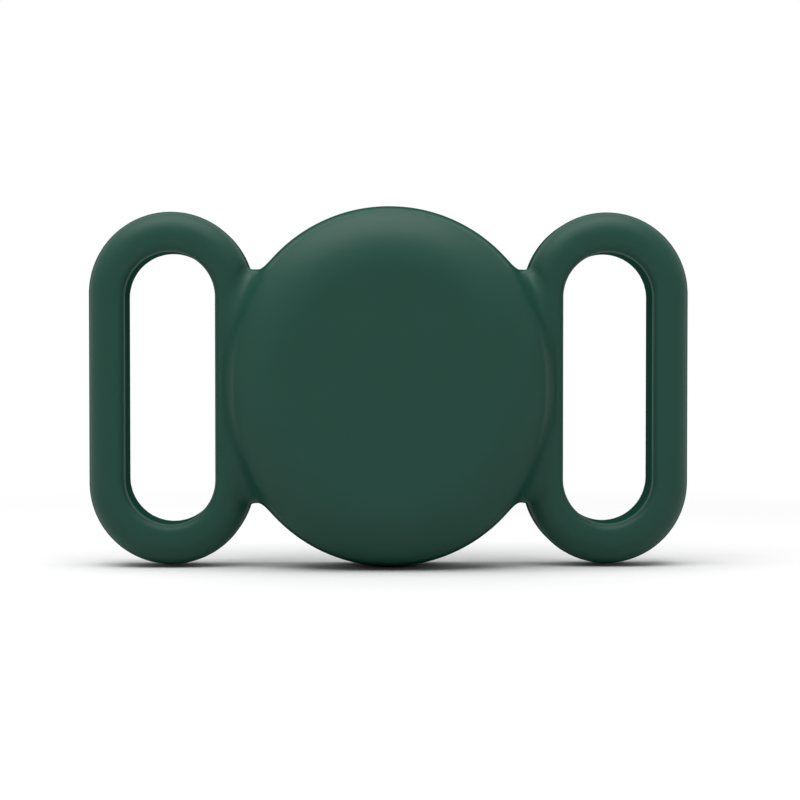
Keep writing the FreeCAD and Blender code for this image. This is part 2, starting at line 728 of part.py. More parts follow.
def lithium_disc():
    back = CELL_BACK - CELL_STEEL - CATHODE_HEIGHT - SEPARATOR_HEIGHT - 3 * CELL_FIT
    return disc(cell_filling_radius() - LITHIUM_INSET, CELL_FRONT + CELL_STEEL + CELL_FIT, back)


def cover_seal():
    """Sealing ring that stands on the bay's wall, under the cover."""
    return ring(SEAL_INNER, SEAL_OUTER, GROOVE_FRONT, COVER_FRONT - SEAT_PLAY)


def battery_cover():
    """Steel disc with shallow dimples for the fingertips."""
    cover = disc(COVER_RADIUS, COVER_FRONT, COVER_BACK)
    ball = (DIMPLE_RADIUS**2 + DIMPLE_DEPTH**2) / (2 * DIMPLE_DEPTH)
    dimples = []
    for angle in evenly(TAB_COUNT, QUARTER_TURN):
        centre = section(DIMPLE_PITCH_SHARE * COVER_RADIUS, COVER_BACK + ball - DIMPLE_DEPTH)
        dimple = Part.makeSphere(ball, centre)
        dimple.rotate(ORIGIN, AXIS, angle)
        dimples.append(dimple)
    return cover.cut(dimples)


def cover_tab_ring():
    """Plastic ring bonded into the cover, with the tabs that lock under the base's ledges."""
    band = ring(RING_INNER, RING_OUTER, TAB_FRONT, COVER_FRONT)
    root = (RING_INNER + RING_OUTER) / 2
    tabs = []
    for angle in evenly(TAB_COUNT):
        tabs.append(ring_sector(root, TAB_RADIUS, TAB_FRONT, TAB_BACK, angle, TAB_ANGLE))
    return joined([band, *tabs])


PIECES = {
    "holder_body": holder_body(),
    "tag_front_shell": tag_front_shell(),
    "tag_base": tag_base(),
    "antenna_carrier": antenna_carrier(),
    "antenna_strips": antenna_strips(),
    "circuit_board": circuit_board(),
    **parts_round_the_board(),
    "small_passives": small_passives(),
    "speaker_yoke": speaker_yoke(),
    "speaker_magnet": speaker_magnet(),
    "speaker_pole_plate": speaker_pole_plate(),
    "voice_coil": voice_coil(),
    "coil_leads": coil_leads(),
    "negative_contact": negative_contact(),
    "positive_contacts": positive_contacts(),
    "cell_can": cell_can(),
    "cell_gasket": cell_gasket(),
    "cell_cap": cell_cap(),
    "cathode_pellet": cathode_pellet(),
    "cell_separator": cell_separator(),
    "lithium_disc": lithium_disc(),
    "cover_seal": cover_seal(),
    "battery_cover": battery_cover(),
    "cover_tab_ring": cover_tab_ring(),
}

os.makedirs("parts", exist_ok=True)
for name, piece in PIECES.items():
    stood = place(piece)
    stood.exportStep(f"parts/{name}.step")
    print(f"{name}: {len(stood.Solids)} solids, {stood.Volume:.2f} mm3, valid {stood.isValid()}")
print(f"tag {2 * TAG_RADIUS:.2f} across, {TAG_BACK - TAG_FRONT:.2f} deep")
print(f"pod {2 * POD_HALF_WIDTH:.2f} wide, {POD_HEIGHT:.2f} high, {POD_DEPTH:.2f} deep")
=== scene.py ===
# %% [markdown]
# # Tracker tag holder
# A soft silicone moulding carries a round tracker tag on a collar or strap. The domed pod in the middle
# hides the tag, and the strap runs through the two slotted loops and behind the pod.
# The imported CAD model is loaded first, as a frame that nothing here moves. Everything after it is about
# looks: softer forms for the pieces that show, and a finish for every piece.

# %% Load the frame
import math

import bmesh
import bpy
from mathutils import Euler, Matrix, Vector


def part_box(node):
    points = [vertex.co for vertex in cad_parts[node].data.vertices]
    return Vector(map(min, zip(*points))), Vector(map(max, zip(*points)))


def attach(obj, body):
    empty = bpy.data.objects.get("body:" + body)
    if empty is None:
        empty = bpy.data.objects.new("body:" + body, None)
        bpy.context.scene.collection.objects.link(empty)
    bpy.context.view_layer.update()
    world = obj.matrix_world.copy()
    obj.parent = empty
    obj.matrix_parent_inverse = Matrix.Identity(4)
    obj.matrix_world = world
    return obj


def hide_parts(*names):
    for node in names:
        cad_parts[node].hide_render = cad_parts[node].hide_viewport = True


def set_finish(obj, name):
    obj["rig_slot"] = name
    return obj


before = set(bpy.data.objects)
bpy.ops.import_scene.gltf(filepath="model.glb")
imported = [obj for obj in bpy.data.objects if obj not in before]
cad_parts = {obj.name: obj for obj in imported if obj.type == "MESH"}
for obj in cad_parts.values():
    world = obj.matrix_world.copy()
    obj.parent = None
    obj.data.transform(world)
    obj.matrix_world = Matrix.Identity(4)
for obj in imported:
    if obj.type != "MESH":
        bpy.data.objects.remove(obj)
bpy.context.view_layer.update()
MM = 0.001
HOLDER_LOW, HOLDER_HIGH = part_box("holder_body")
MIDDLE = (HOLDER_LOW + HOLDER_HIGH) / 2
FRONT = HOLDER_LOW.y
BACK = HOLDER_HIGH.y


def in_mm(sides):
    """Lengths in millimetres, for printing."""
    return [round(side / MM, 2) for side in sides]


print("holder box in mm:", in_mm(HOLDER_HIGH - HOLDER_LOW))

# %% [markdown]
# ## Camera
# The photograph is a nearly square-on product shot. Two signs give the camera away: how much of the slots'
# inner walls shows, and how much larger the left loop is than the right one. So the camera stands a little
# left of the middle and a little above it, and is turned until the middle of the holder falls on its place
# in the picture.

# %% Camera
IMAGE_SIDE = 800
FOCAL_PIXELS = 1969
HOLDER_PIXEL = (389.5, 386.6)
EYE = Vector((-3.7 * MM, -220 * MM, 24.0 * MM))
NEAREST_SEEN = 5 * MM


def aim(eye, target, pixel):
    """Turn that brings a target onto a pixel of the square picture."""
    sight = target - eye
    yaw = math.atan2(sight.x, sight.y) - math.atan((pixel[0] - IMAGE_SIDE / 2) / FOCAL_PIXELS)
    pitch = math.atan2(sight.z, sight.y) + math.atan((pixel[1] - IMAGE_SIDE / 2) / FOCAL_PIXELS)
    return Euler((math.pi / 2 + pitch, 0, -yaw))


bpy.ops.object.select_all(action="DESELECT")
bpy.ops.object.camera_add(location=EYE, rotation=aim(EYE, MIDDLE, HOLDER_PIXEL))
camera = bpy.context.object
camera.data.lens = camera.data.sensor_width * FOCAL_PIXELS / IMAGE_SIDE
camera.data.clip_start = NEAREST_SEEN
bpy.context.scene.camera = camera
print("lens in mm:", round(camera.data.lens, 1))

# %% [markdown]
# ## Hand tools
# Modelling by operators always goes the same way: one object is active, edit mode is entered, some vertices
# or edges are selected by their place, and an operator acts on them. These few helpers say that in one line
# each.

# %% Hand tools
TOGETHER = 0.001 * MM
SLACK = 0.01 * MM


def only(piece):
    """Leave edit mode, and make this object the only selected and the active one."""
    if bpy.context.object and bpy.context.object.mode == "EDIT":
        bpy.ops.object.mode_set(mode="OBJECT")
    bpy.ops.object.select_all(action="DESELECT")
    bpy.context.view_layer.objects.active = piece
    piece.select_set(True)


def edit(piece):
    """Enter edit mode on one object, with nothing of it selected."""
    only(piece)
    bpy.ops.object.mode_set(mode="EDIT")
    bpy.ops.mesh.select_all(action="DESELECT")


def pick(piece, kind, test):
    """Select the vertices, or the edges with both ends, that pass a test on their place."""
    bpy.ops.mesh.select_mode(type=kind)
    bpy.ops.mesh.select_all(action="DESELECT")
    shape = bmesh.from_edit_mesh(piece.data)
    if kind == "VERT":
        for vertex in shape.verts:
            vertex.select_set(test(vertex.co))
    else:
        for edge in shape.edges:
            edge.select_set(all(test(vertex.co) for vertex in edge.verts))
    bmesh.update_edit_mesh(piece.data)


def round_off(size, segments):
    """Bevel the selected edges to a round of some size."""
    bpy.ops.mesh.bevel(offset=size, segments=segments, affect="EDGES", clamp_overlap=False)


def modify(piece, kind, **settings):
    """Add a modifier, set it and apply it."""
    only(piece)
    bpy.ops.object.modifier_add(type=kind)
    modifier = piece.modifiers[-1]
    for name, value in settings.items():
        setattr(modifier, name, value)
    bpy.ops.object.modifier_apply(modifier=modifier.name)


def clean(piece):
    """Merge vertices that lie together, turn every face outwards and leave edit mode."""
    edit(piece)
    bpy.ops.mesh.select_all(action="SELECT")
    bpy.ops.mesh.remove_doubles(threshold=TOGETHER)
    bpy.ops.mesh.normals_make_consistent(inside=False)
    only(piece)


def settle(piece, name):
    """Name a finished piece, and move its place from the object into the mesh."""
    only(piece)
    bpy.ops.object.transform_apply(location=True, rotation=True, scale=True)
    piece.name = name
    piece.data.name = name


def upright_circle(vertices, radius, centre, filled):
    """A new circle that stands square to the tag's axis."""
    bpy.ops.object.select_all(action="DESELECT")
    fill = "NGON" if filled else "NOTHING"
    turn = (math.pi / 2, 0, 0)
    bpy.ops.mesh.primitive_circle_add(
        vertices=vertices, radius=radius, fill_type=fill, location=centre, rotation=turn
    )
    circle = bpy.context.object
    bpy.ops.object.transform_apply(location=True, rotation=True, scale=True)
    return circle


def extrude_back(distance):
    """Extrude what is selected along the tag's axis."""
    bpy.ops.mesh.extrude_region_move(TRANSFORM_OT_translate={"value": (0, distance, 0)})


def near(value, wanted):
    """Whether a length is the wanted one, but for a little slack."""
    return abs(value - wanted) < SLACK


print("hand tools are ready")

# %% [markdown]
# ## Pod
# The pod is an oval of four arcs: two ends, and two flatter sides. A circle is the start. Each of its
# vertices keeps the direction in which it faces, and moves to where the oval faces that way. The oval is
# extruded from the back to the rim of the dome, and the dome is a row of insets, each a little further in
# and a little higher, along one tight arc at the rim and one wide arc at the crown.

# %% Pod
POD_VERTICES = 256
POD_END_RADIUS = 17.70 * MM
OVAL_SPREAD = 2.54 * MM
OVAL_SIDE_GAIN = 8.26 * MM
DOME_REACH = 7.2 * MM
DOME_DEPTH = 5.4 * MM
DOME_RIM_SHARE = 0.72
DOME_RIM = DOME_RIM_SHARE * DOME_DEPTH
DOME_STEPS = 14
BACK_ROUND = 0.8 * MM
BACK_SEGMENTS = 6
SIDE_CENTRE = math.sqrt(OVAL_SIDE_GAIN**2 - OVAL_SPREAD**2)
JOIN_ANGLE = math.atan2(OVAL_SPREAD, SIDE_CENTRE)


def oval_place(direction):
    """Where the pod's outline faces in a direction, as x and z from its middle."""
    if abs(math.asin(direction.z)) > JOIN_ANGLE:
        return direction * POD_END_RADIUS + Vector((0, 0, math.copysign(OVAL_SPREAD, direction.z)))
    side = Vector((-math.copysign(SIDE_CENTRE, direction.x), 0, 0))
    return direction * (POD_END_RADIUS + OVAL_SIDE_GAIN) + side


def dome_profile():
    """Steps of the dome from its rim to its flat crown: how far in and how high."""
    crown = ((DOME_REACH - DOME_RIM) ** 2 + DOME_DEPTH**2 - DOME_RIM**2) / (2 * (DOME_DEPTH - DOME_RIM))
    lean = math.atan2(crown - DOME_DEPTH, DOME_REACH - DOME_RIM)
    steps = []
    for number in range(1, DOME_STEPS + 1):
        angle = lean * number / DOME_STEPS
        steps.append((DOME_RIM * (1 - math.cos(angle)), DOME_RIM * math.sin(angle)))
    for number in range(1, DOME_STEPS + 1):
        angle = lean + (math.pi / 2 - lean) * number / DOME_STEPS
        steps.append((DOME_REACH - crown * math.cos(angle), DOME_DEPTH - crown * (1 - math.sin(angle))))
    return steps


pod = upright_circle(POD_VERTICES, POD_END_RADIUS, (0, BACK, MIDDLE.z), filled=True)
for vertex in pod.data.vertices:
    facing = Vector((vertex.co.x, 0, vertex.co.z - MIDDLE.z)).normalized()
    vertex.co = oval_place(facing) + Vector((0, BACK, MIDDLE.z))
edit(pod)
bpy.ops.mesh.select_all(action="SELECT")
extrude_back(FRONT + DOME_DEPTH - BACK)
reached = (0, 0)
for inwards, height in dome_profile():
    bpy.ops.mesh.inset(thickness=inwards - reached[0], depth=height - reached[1])
    reached = (inwards, height)
pick(pod, "EDGE", lambda place: near(place.y, BACK))
round_off(BACK_ROUND, BACK_SEGMENTS)
clean(pod)
print("pod in mm:", in_mm(pod.dimensions))

# %% [markdown]
# ## Strap loops
# Each loop is a flat ring in the shape of a stadium, with a generous round on its outer front edge, a
# smaller one round the slot, and a slight one at the back. The loops sit a hair lower than the middle of
# the pod. Two circles are pulled apart in the middle, bridged to a flat ring and extruded, and the bevels
# follow. Only the right-hand loop is modelled: a Mirror modifier makes the left one.

# %% Right-hand loop
LOOP_VERTICES = 128
SLOT_RADIUS = 5.0 * MM
SLOT_STRAIGHT = 10.2 * MM
LOOP_RADIUS = 9.2 * MM
LOOP_STRAIGHT = 10.6 * MM
LOOP_DROP = 0.2 * MM
LOOP_DEPTH = 6.8 * MM
LOOP_OUTER_ROUND = 2.6 * MM
LOOP_OUTER_SEGMENTS = 12
LOOP_INNER_ROUND = 1.05 * MM
LOOP_INNER_SEGMENTS = 8
LOOP_FRONT = BACK - LOOP_DEPTH
LOOP_CENTRE = Vector((HOLDER_HIGH.x - LOOP_RADIUS, BACK, MIDDLE.z - LOOP_DROP))


def stadium(radius, straight):
    """A circle at the back of the loop, with its upper and lower halves pulled apart."""
    ring = upright_circle(LOOP_VERTICES, radius, LOOP_CENTRE, filled=False)
    half_step = math.pi / LOOP_VERTICES
    edit(ring)
    bpy.ops.mesh.select_all(action="SELECT")
    bpy.ops.transform.rotate(value=half_step, orient_axis="Y", center_override=LOOP_CENTRE)
    for side in (1, -1):
        pick(ring, "VERT", lambda place: (place.z - LOOP_CENTRE.z) * side > 0)
        bpy.ops.transform.translate(value=(0, 0, side * straight))
    only(ring)
    return ring


def from_stadium(place, straight):
    """How far a place is from the upright middle line of the loop or of its slot."""
    over = max(abs(place.z - LOOP_CENTRE.z) - straight, 0)
    return math.hypot(place.x - LOOP_CENTRE.x, over)


def on_outline(place, outline, depth):
    """Whether a place lies on an outline, given as radius and straight, at a depth."""
    radius, straight = outline
    return near(place.y, depth) and near(from_stadium(place, straight), radius)


outer = (LOOP_RADIUS, LOOP_STRAIGHT)
inner = (SLOT_RADIUS, SLOT_STRAIGHT)
loop = stadium(*outer)
slot = stadium(*inner)
only(loop)
slot.select_set(True)
bpy.ops.object.join()
edit(loop)
bpy.ops.mesh.select_all(action="SELECT")
bpy.ops.mesh.bridge_edge_loops()
extrude_back(-LOOP_DEPTH)
loop_rounds = [
    (outer, LOOP_FRONT, LOOP_OUTER_ROUND, LOOP_OUTER_SEGMENTS),
    (inner, LOOP_FRONT, LOOP_INNER_ROUND, LOOP_INNER_SEGMENTS),
    (outer, BACK, BACK_ROUND, BACK_SEGMENTS),
    (inner, BACK, BACK_ROUND, BACK_SEGMENTS),
]
for outline, depth, size, segments in loop_rounds:
    pick(loop, "EDGE", lambda place: on_outline(place, outline, depth))
    round_off(size, segments)
clean(loop)
print("loop in mm:", in_mm(loop.dimensions))

# %% [markdown]
# ## Gussets in the crotches
# Where a loop meets the pod, the moulding has a small gusset, set back behind the loop's rounded edge, so
# that the silicone doesn't tear there. Seen from the front, the bottom of each crotch is nearly straight,
# so no blend of arcs is needed. One cube reaches from inside the pod to inside the loop and past the two
# places where their outlines cross, and its upper and lower edges are rounded.

# %% Gusset, and the mirror image of the loop
GUSSET_RISE = 1.78 * MM
GUSSET_SETBACK = 1.0 * MM
GUSSET_ROUND = 1.7 * MM
GUSSET_SEGMENTS = 10
GUSSET_ROOT = 1.9 * MM
SINK = 0.02 * MM


def crotch_height():
    """How far above the middle the outlines of the pod and of the loop cross at the upper end."""
    up = LOOP_STRAIGHT - LOOP_DROP - OVAL_SPREAD
    apart = math.hypot(LOOP_CENTRE.x, up)
    along = (POD_END_RADIUS**2 - LOOP_RADIUS**2 + apart**2) / (2 * apart)
    aside = math.sqrt(POD_END_RADIUS**2 - along**2)
    return OVAL_SPREAD + (along * up + aside * LOOP_CENTRE.x) / apart


def combine(piece, tool, operation):
    """Join a tool shape to a piece, or cut it away, and remove the tool."""
    modify(piece, "BOOLEAN", operation=operation, object=tool, solver="MANIFOLD")
    bpy.data.objects.remove(tool)


gusset_half = crotch_height() + GUSSET_RISE
gusset_front = LOOP_FRONT + GUSSET_SETBACK
gusset_back = BACK - SINK
gusset_size = (2 * GUSSET_ROOT, gusset_back - gusset_front, 2 * gusset_half)
gusset_place = (LOOP_CENTRE.x - LOOP_RADIUS, (gusset_front + gusset_back) / 2, MIDDLE.z)
bpy.ops.object.select_all(action="DESELECT")
bpy.ops.mesh.primitive_cube_add(size=1, location=gusset_place, scale=gusset_size)
gusset = bpy.context.object
bpy.ops.object.transform_apply(location=True, rotation=True, scale=True)
edit(gusset)
gusset_rounds = [
    (gusset_front, GUSSET_ROUND, GUSSET_SEGMENTS),
    (gusset_back, BACK_ROUND, BACK_SEGMENTS),
]
for depth, size, segments in gusset_rounds:
    for end in (MIDDLE.z - gusset_half, MIDDLE.z + gusset_half):
        pick(gusset, "EDGE", lambda place: near(place.y, depth) and near(place.z, end))
        round_off(size, segments)
clean(gusset)
combine(loop, gusset, "UNION")
modify(loop, "MIRROR", use_axis=(True, False, False), use_mirror_merge=False)
clean(loop)
print("gusset height in mm:", round(2 * gusset_half / MM, 2))
print("both loops in mm:", in_mm(loop.dimensions))

# %% [markdown]
# ## Pocket
# The pocket behind the dome takes the tag, and a thin lip keeps it in. In the real tool a core shapes it,
# and the part is peeled off that core while it is still warm. Here the core is turned: a disc that is
# extruded along the axis in small steps and resized after each one, so its outline follows a row of radii
# and depths. What is left after cutting it away is the pocket. The core flares and ends past the back, so
# that the cut breaks through there cleanly.

# %% Core of the pocket
CORE_VERTICES = 192
CORE_START = 2.0 * MM
CORE_FLAT = 12.2 * MM
CORE_FRONT_ROUND = 3.85 * MM
CORE_FRONT_STEPS = 16
CORE_SHOULDER = 7.7 * MM
CORE_BACK_ROUND = 2.5 * MM
LIP_MIDDLE = 13.45 * MM
LIP_ROUND = 0.5 * MM
LIP_START = 10.2 * MM
LIP_END = 12.0 * MM
FLARE_START = LIP_END + 0.1 * MM
FLARE_END = LIP_END + 1.0 * MM
ARC_STEPS = 10


def arc(radius, depth, size, first, last, steps=ARC_STEPS):
    """Radii and depths along an arc. The angle is 0 outwards and 90 towards the back."""
    angles = [math.radians(first + (last - first) * step / steps) for step in range(steps + 1)]
    return [(radius + size * math.cos(angle), depth + size * math.sin(angle)) for angle in angles]


def turned(profile, vertices):
    """A solid that is round about the tag's axis, from pairs of radius and depth behind the front."""
    radius, depth = profile[0]
    solid = upright_circle(vertices, radius, (0, FRONT + depth, MIDDLE.z), filled=True)
    edit(solid)
    bpy.ops.mesh.select_all(action="SELECT")
    for next_radius, next_depth in profile[1:]:
        extrude_back(next_depth - depth)
        centre = (0, FRONT + next_depth, MIDDLE.z)
        ratio = next_radius / radius
        bpy.ops.transform.resize(value=(ratio, 1, ratio), center_override=centre)
        radius, depth = next_radius, next_depth
    clean(solid)
    return solid


core_side = CORE_FLAT + CORE_FRONT_ROUND
flare = LIP_MIDDLE + LIP_ROUND
core_profile = arc(
    CORE_FLAT, CORE_START + CORE_FRONT_ROUND, CORE_FRONT_ROUND, -90, 0, steps=CORE_FRONT_STEPS
)
core_profile += arc(core_side - CORE_BACK_ROUND, CORE_SHOULDER, CORE_BACK_ROUND, 0, 90)
core_profile += arc(LIP_MIDDLE, LIP_START + LIP_ROUND, LIP_ROUND, 270, 180)
core_profile += arc(LIP_MIDDLE, LIP_END - LIP_ROUND, LIP_ROUND, 180, 100)
core_profile += [(flare, FLARE_START), (flare, FLARE_END)]
core = turned(core_profile, CORE_VERTICES)
print("core of the pocket in mm:", in_mm(core.dimensions))

# %% [markdown]
# ## One moulding
# Pod and loops are one shot of silicone, so the pieces are joined and the core is cut away. A moulding has
# no sharp inner corner where two forms run into each other: the tool is milled with a ball cutter. For that
# the joined shape gets an even skin of small faces, the skin is drawn back onto the joined shape, and the
# valley round the foot of the pod is then relaxed: first a little, down to the gussets at its ends, and
# then along the loops until it is a soft hollow.

# %% Join, cut and soften
SKIN_STEP = 0.33 * MM
RELAX_FACTOR = 0.5
CREASE_REACH = 2.2 * MM
CREASE_PASSES = 90
CORNER_REACH = 0.95 * MM
CORNER_PASSES = 14
CORNER_BACK = gusset_front + GUSSET_ROUND


def from_oval(place):
    """How far a place lies outside the pod's outline, negative inside."""
    x = abs(place.x)
    z = abs(place.z - MIDDLE.z)
    if z * SIDE_CENTRE > OVAL_SPREAD * (x + SIDE_CENTRE):
        return math.hypot(x, z - OVAL_SPREAD) - POD_END_RADIUS
    return math.hypot(x + SIDE_CENTRE, z) - POD_END_RADIUS - OVAL_SIDE_GAIN


def in_crease(place):
    """Whether a place lies in the valley between the pod and the flat front of a loop."""
    on_the_right = Vector((abs(place.x), place.y, place.z))
    on_bar = from_stadium(on_the_right, SLOT_STRAIGHT) > SLOT_RADIUS + LOOP_INNER_ROUND
    return on_bar and math.hypot(from_oval(place), place.y - LOOP_FRONT) < CREASE_REACH


def in_corner(place):
    """Whether a place lies close to the pod's outline, between the gusset's ends and down to its round."""
    beside = abs(from_oval(place)) < CORNER_REACH
    in_height = abs(place.z - MIDDLE.z) < gusset_half + CORNER_REACH
    return beside and in_height and FRONT < place.y < CORNER_BACK


combine(pod, loop, "UNION")
combine(pod, core, "DIFFERENCE")
clean(pod)
bpy.ops.object.duplicate()
holder = bpy.context.object
modify(holder, "REMESH", mode="VOXEL", voxel_size=SKIN_STEP, adaptivity=0)
modify(holder, "SHRINKWRAP", target=pod, wrap_method="NEAREST_SURFACEPOINT", wrap_mode="ON_SURFACE")
edit(holder)
for test, passes in ((in_corner, CORNER_PASSES), (in_crease, CREASE_PASSES)):
    pick(holder, "VERT", test)
    bpy.ops.mesh.vertices_smooth(factor=RELAX_FACTOR, repeat=passes)
only(holder)
bpy.ops.object.shade_smooth()
bpy.data.objects.remove(pod)
settle(holder, "holder_silicone")
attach(holder, "holder")
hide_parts("holder_body")
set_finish(holder, "silicone")
print("holder faces:", len(holder.data.polygons))
print("holder in mm:", in_mm(holder.dimensions))

# %% [markdown]
# ## Front shell of the tag
# The tag's front is a bowl of white plastic, thin enough to sing as a loudspeaker membrane. It is turned
# like the core: over the outside from the flat middle to the rim, across the rim, and back along the
# inside.

# %% Front shell
SHELL_LOW, SHELL_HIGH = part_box("tag_front_shell")
SHELL_RADIUS = (SHELL_HIGH.x - SHELL_LOW.x) / 2
SHELL_START = SHELL_LOW.y - FRONT
SHELL_RIM = SHELL_HIGH.y - FRONT
SHELL_ROUND = 3.75 * MM
SHELL_OUTER_STEPS = 20
SHELL_INNER_STEPS = 16
SHELL_WALL = 0.9 * MM
SHELL_RIM_ROUND = 0.12 * MM
SHELL_RIM_STEPS = 4
EDGE_ANGLE = math.radians(35)
shell_flat = SHELL_RADIUS - SHELL_ROUND
round_depth = SHELL_START + SHELL_ROUND
rim_radius = SHELL_RADIUS - SHELL_RIM_ROUND
rim_depth = SHELL_RIM - SHELL_RIM_ROUND
shell_profile = arc(shell_flat, round_depth, SHELL_ROUND, -90, 0, steps=SHELL_OUTER_STEPS)
shell_profile += arc(rim_radius, rim_depth, SHELL_RIM_ROUND, 0, 90, steps=SHELL_RIM_STEPS)
shell_profile += [(SHELL_RADIUS - SHELL_WALL, SHELL_RIM)]
shell_profile += arc(shell_flat, round_depth, SHELL_ROUND - SHELL_WALL, 0, -90, steps=SHELL_INNER_STEPS)
tag_shell = turned(shell_profile, CORE_VERTICES)
settle(tag_shell, "tag_shell")
bpy.ops.object.shade_smooth_by_angle(angle=EDGE_ANGLE)
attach(tag_shell, "tag")
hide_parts("tag_front_shell")
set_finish(tag_shell, "white_shell")
print("front shell in mm:", in_mm(tag_shell.dimensions))

# %% [markdown]
# ## Edges that catch the light
# The back of the tag shows through the mouth of the pocket. Its base and its steel cover have the right
# shape in CAD, but every edge there is knife sharp, and no moulded or stamped edge is. A copy of each mesh
# is merged, its flat faces are dissolved into one, and a small bevel goes round what is left of its edges.

# %% Base and cover with broken edges
FLAT_ANGLE = math.radians(0.5)
CAD_TOGETHER = 0.0005 * MM
EDGE_SEGMENTS = 3
BASE_EDGE = 0.06 * MM
COVER_EDGE = 0.1 * MM


def break_edges(node, name, width, body, slot):
    """A copy of a CAD node with small rounds along its edges, which stands for the node."""
    piece = bpy.data.objects.new(name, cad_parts[node].data.copy())
    bpy.context.scene.collection.objects.link(piece)
    edit(piece)
    bpy.ops.mesh.select_all(action="SELECT")
    bpy.ops.mesh.remove_doubles(threshold=CAD_TOGETHER)
    bpy.ops.mesh.customdata_custom_splitnormals_clear()
    bpy.ops.mesh.dissolve_limited(angle_limit=FLAT_ANGLE)
    rounds = {"width": width, "segments": EDGE_SEGMENTS, "angle_limit": EDGE_ANGLE}
    modify(piece, "BEVEL", limit_method="ANGLE", **rounds)
    settle(piece, name)
    bpy.ops.object.shade_smooth_by_angle(angle=EDGE_ANGLE)
    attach(piece, body)
    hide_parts(node)
    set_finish(piece, slot)
    return piece


base_piece = break_edges("tag_base", "tag_back_base", BASE_EDGE, "tag", "white_base")
cover_piece = break_edges("battery_cover", "steel_cover", COVER_EDGE, "cover", "cover_steel")
print("base and cover faces:", len(base_piece.data.polygons), len(cover_piece.data.polygons))

# %% [markdown]
# ## Shader maths
# A finish is a small program of nodes. Written node by node it is hard to read, so one class wraps a
# socket: sums of sockets become Math nodes, and any other node comes from its make method.

# %% Shader maths


class Field:
    """A value that changes over a surface: a socket that can be used in sums."""

    def __init__(self, tree, socket=None):
        self.tree = tree
        self.socket = socket

    def make(self, kind, settings=None, sockets=None, output=0):
        """Add a node: its settings come first, then the values and links of its sockets."""
        node = self.tree.nodes.new(kind)
        for name, value in (settings or {}).items():
            setattr(node, name, value)
        for name, value in (sockets or {}).items():
            if isinstance(value, Field):
                self.tree.links.new(value.socket, node.inputs[name])
            else:
                node.inputs[name].default_value = value
        return Field(self.tree, node.outputs[output] if node.outputs else None)

    def maths(self, operation, first, second=0.0):
        """Add a Math node on one or two values."""
        return self.make("ShaderNodeMath", {"operation": operation}, {0: first, 1: second})

    def __add__(self, other):
        return self.maths("ADD", self, other)

    def __sub__(self, other):
        return self.maths("SUBTRACT", self, other)

    def __rsub__(self, other):
        return self.maths("SUBTRACT", other, self)

    def __mul__(self, other):
        return self.maths("MULTIPLY", self, other)

    def __lt__(self, other):
        return self.maths("LESS_THAN", self, other)

    def __gt__(self, other):
        return self.maths("GREATER_THAN", self, other)

    def __abs__(self):
        return self.maths("ABSOLUTE", self)

    __radd__ = __add__
    __rmul__ = __mul__


print("shader maths is ready")

# %% [markdown]
# ## Words for finishes
# Every finish is put together from the same few things: a place on the object, noise of some size, a mix of
# two colours, a smooth rise and a bump. Each gets a short name here, so that a finish reads like a recipe.

# %% Words for finishes
SOFT_DETAIL = 2.0
FINE_DETAIL = 3.0
WHITE = (1, 1, 1)


def blank(name):
    """A new material with no nodes in it, ready for make."""
    material = bpy.data.materials.new(name)
    material.use_nodes = True
    material.node_tree.nodes.clear()
    return material, Field(material.node_tree)


def object_place(root):
    """The place on the object, in metres."""
    return root.make("ShaderNodeTexCoord", output="Object")


def part_of(place, axis):
    """One coordinate of a place."""
    return place.make("ShaderNodeSeparateXYZ", {}, {"Vector": place}, output=axis)


def length(vector):
    """How long a vector is."""
    return vector.make("ShaderNodeVectorMath", {"operation": "LENGTH"}, {0: vector}, output="Value")


def noise(place, size, detail=SOFT_DETAIL):
    """Cloudy noise with features of about a size in metres."""
    return place.make("ShaderNodeTexNoise", {}, {"Vector": place, "Scale": 1 / size, "Detail": detail})


def rise(value, start, end):
    """A smooth rise from 0 to 1 while a value goes from its start to its end."""
    span = {"Value": value, "From Min": start, "From Max": end}
    return value.make("ShaderNodeMapRange", {"interpolation_type": "SMOOTHSTEP"}, span)


def mix(first, second, share):
    """One colour, or another, by a share from 0 to 1. The Mix node's colours are its inputs 6 and 7."""
    return share.make("ShaderNodeMix", {"data_type": "RGBA"}, {0: share, 6: first, 7: second}, output=2)


def tone(colour, gain):
    """A colour with its light scaled."""
    return (*[channel * gain for channel in colour], 1.0)


def clouded(colour, spread, share):
    """A colour that goes from darker to lighter by a spread, as the share goes from 0 to 1."""
    return mix(tone(colour, 1 - spread), tone(colour, 1 + spread), share)


def bump(height, relief):
    """A normal that follows a height, which stands for some relief in metres."""
    return height.make("ShaderNodeBump", {}, {"Height": height, "Distance": relief})


def show(root, shader):
    """Put a shader on the material's output."""
    root.make("ShaderNodeOutputMaterial", {}, {"Surface": shader})


FINISHES = {}
print("words for finishes are ready")

# %% [markdown]
# ## Silicone
# The holder is dark green silicone with the dull skin that a spark-eroded tool leaves. Up close that skin
# is a grain of about a tenth of a millimetre, and the pigment is a little cloudy. Where the two halves of
# the tool meet, near the back, a hairline witness runs round the outside. Noise gives the grain and the
# clouds, and the witness is a narrow pulse of bump along the depth. Seen at a slant, the grains hide the
# glossy sides of their neighbours, so the skin has no bright rim as polished plastic has: there a shader
# without gloss takes over from the glossy one.

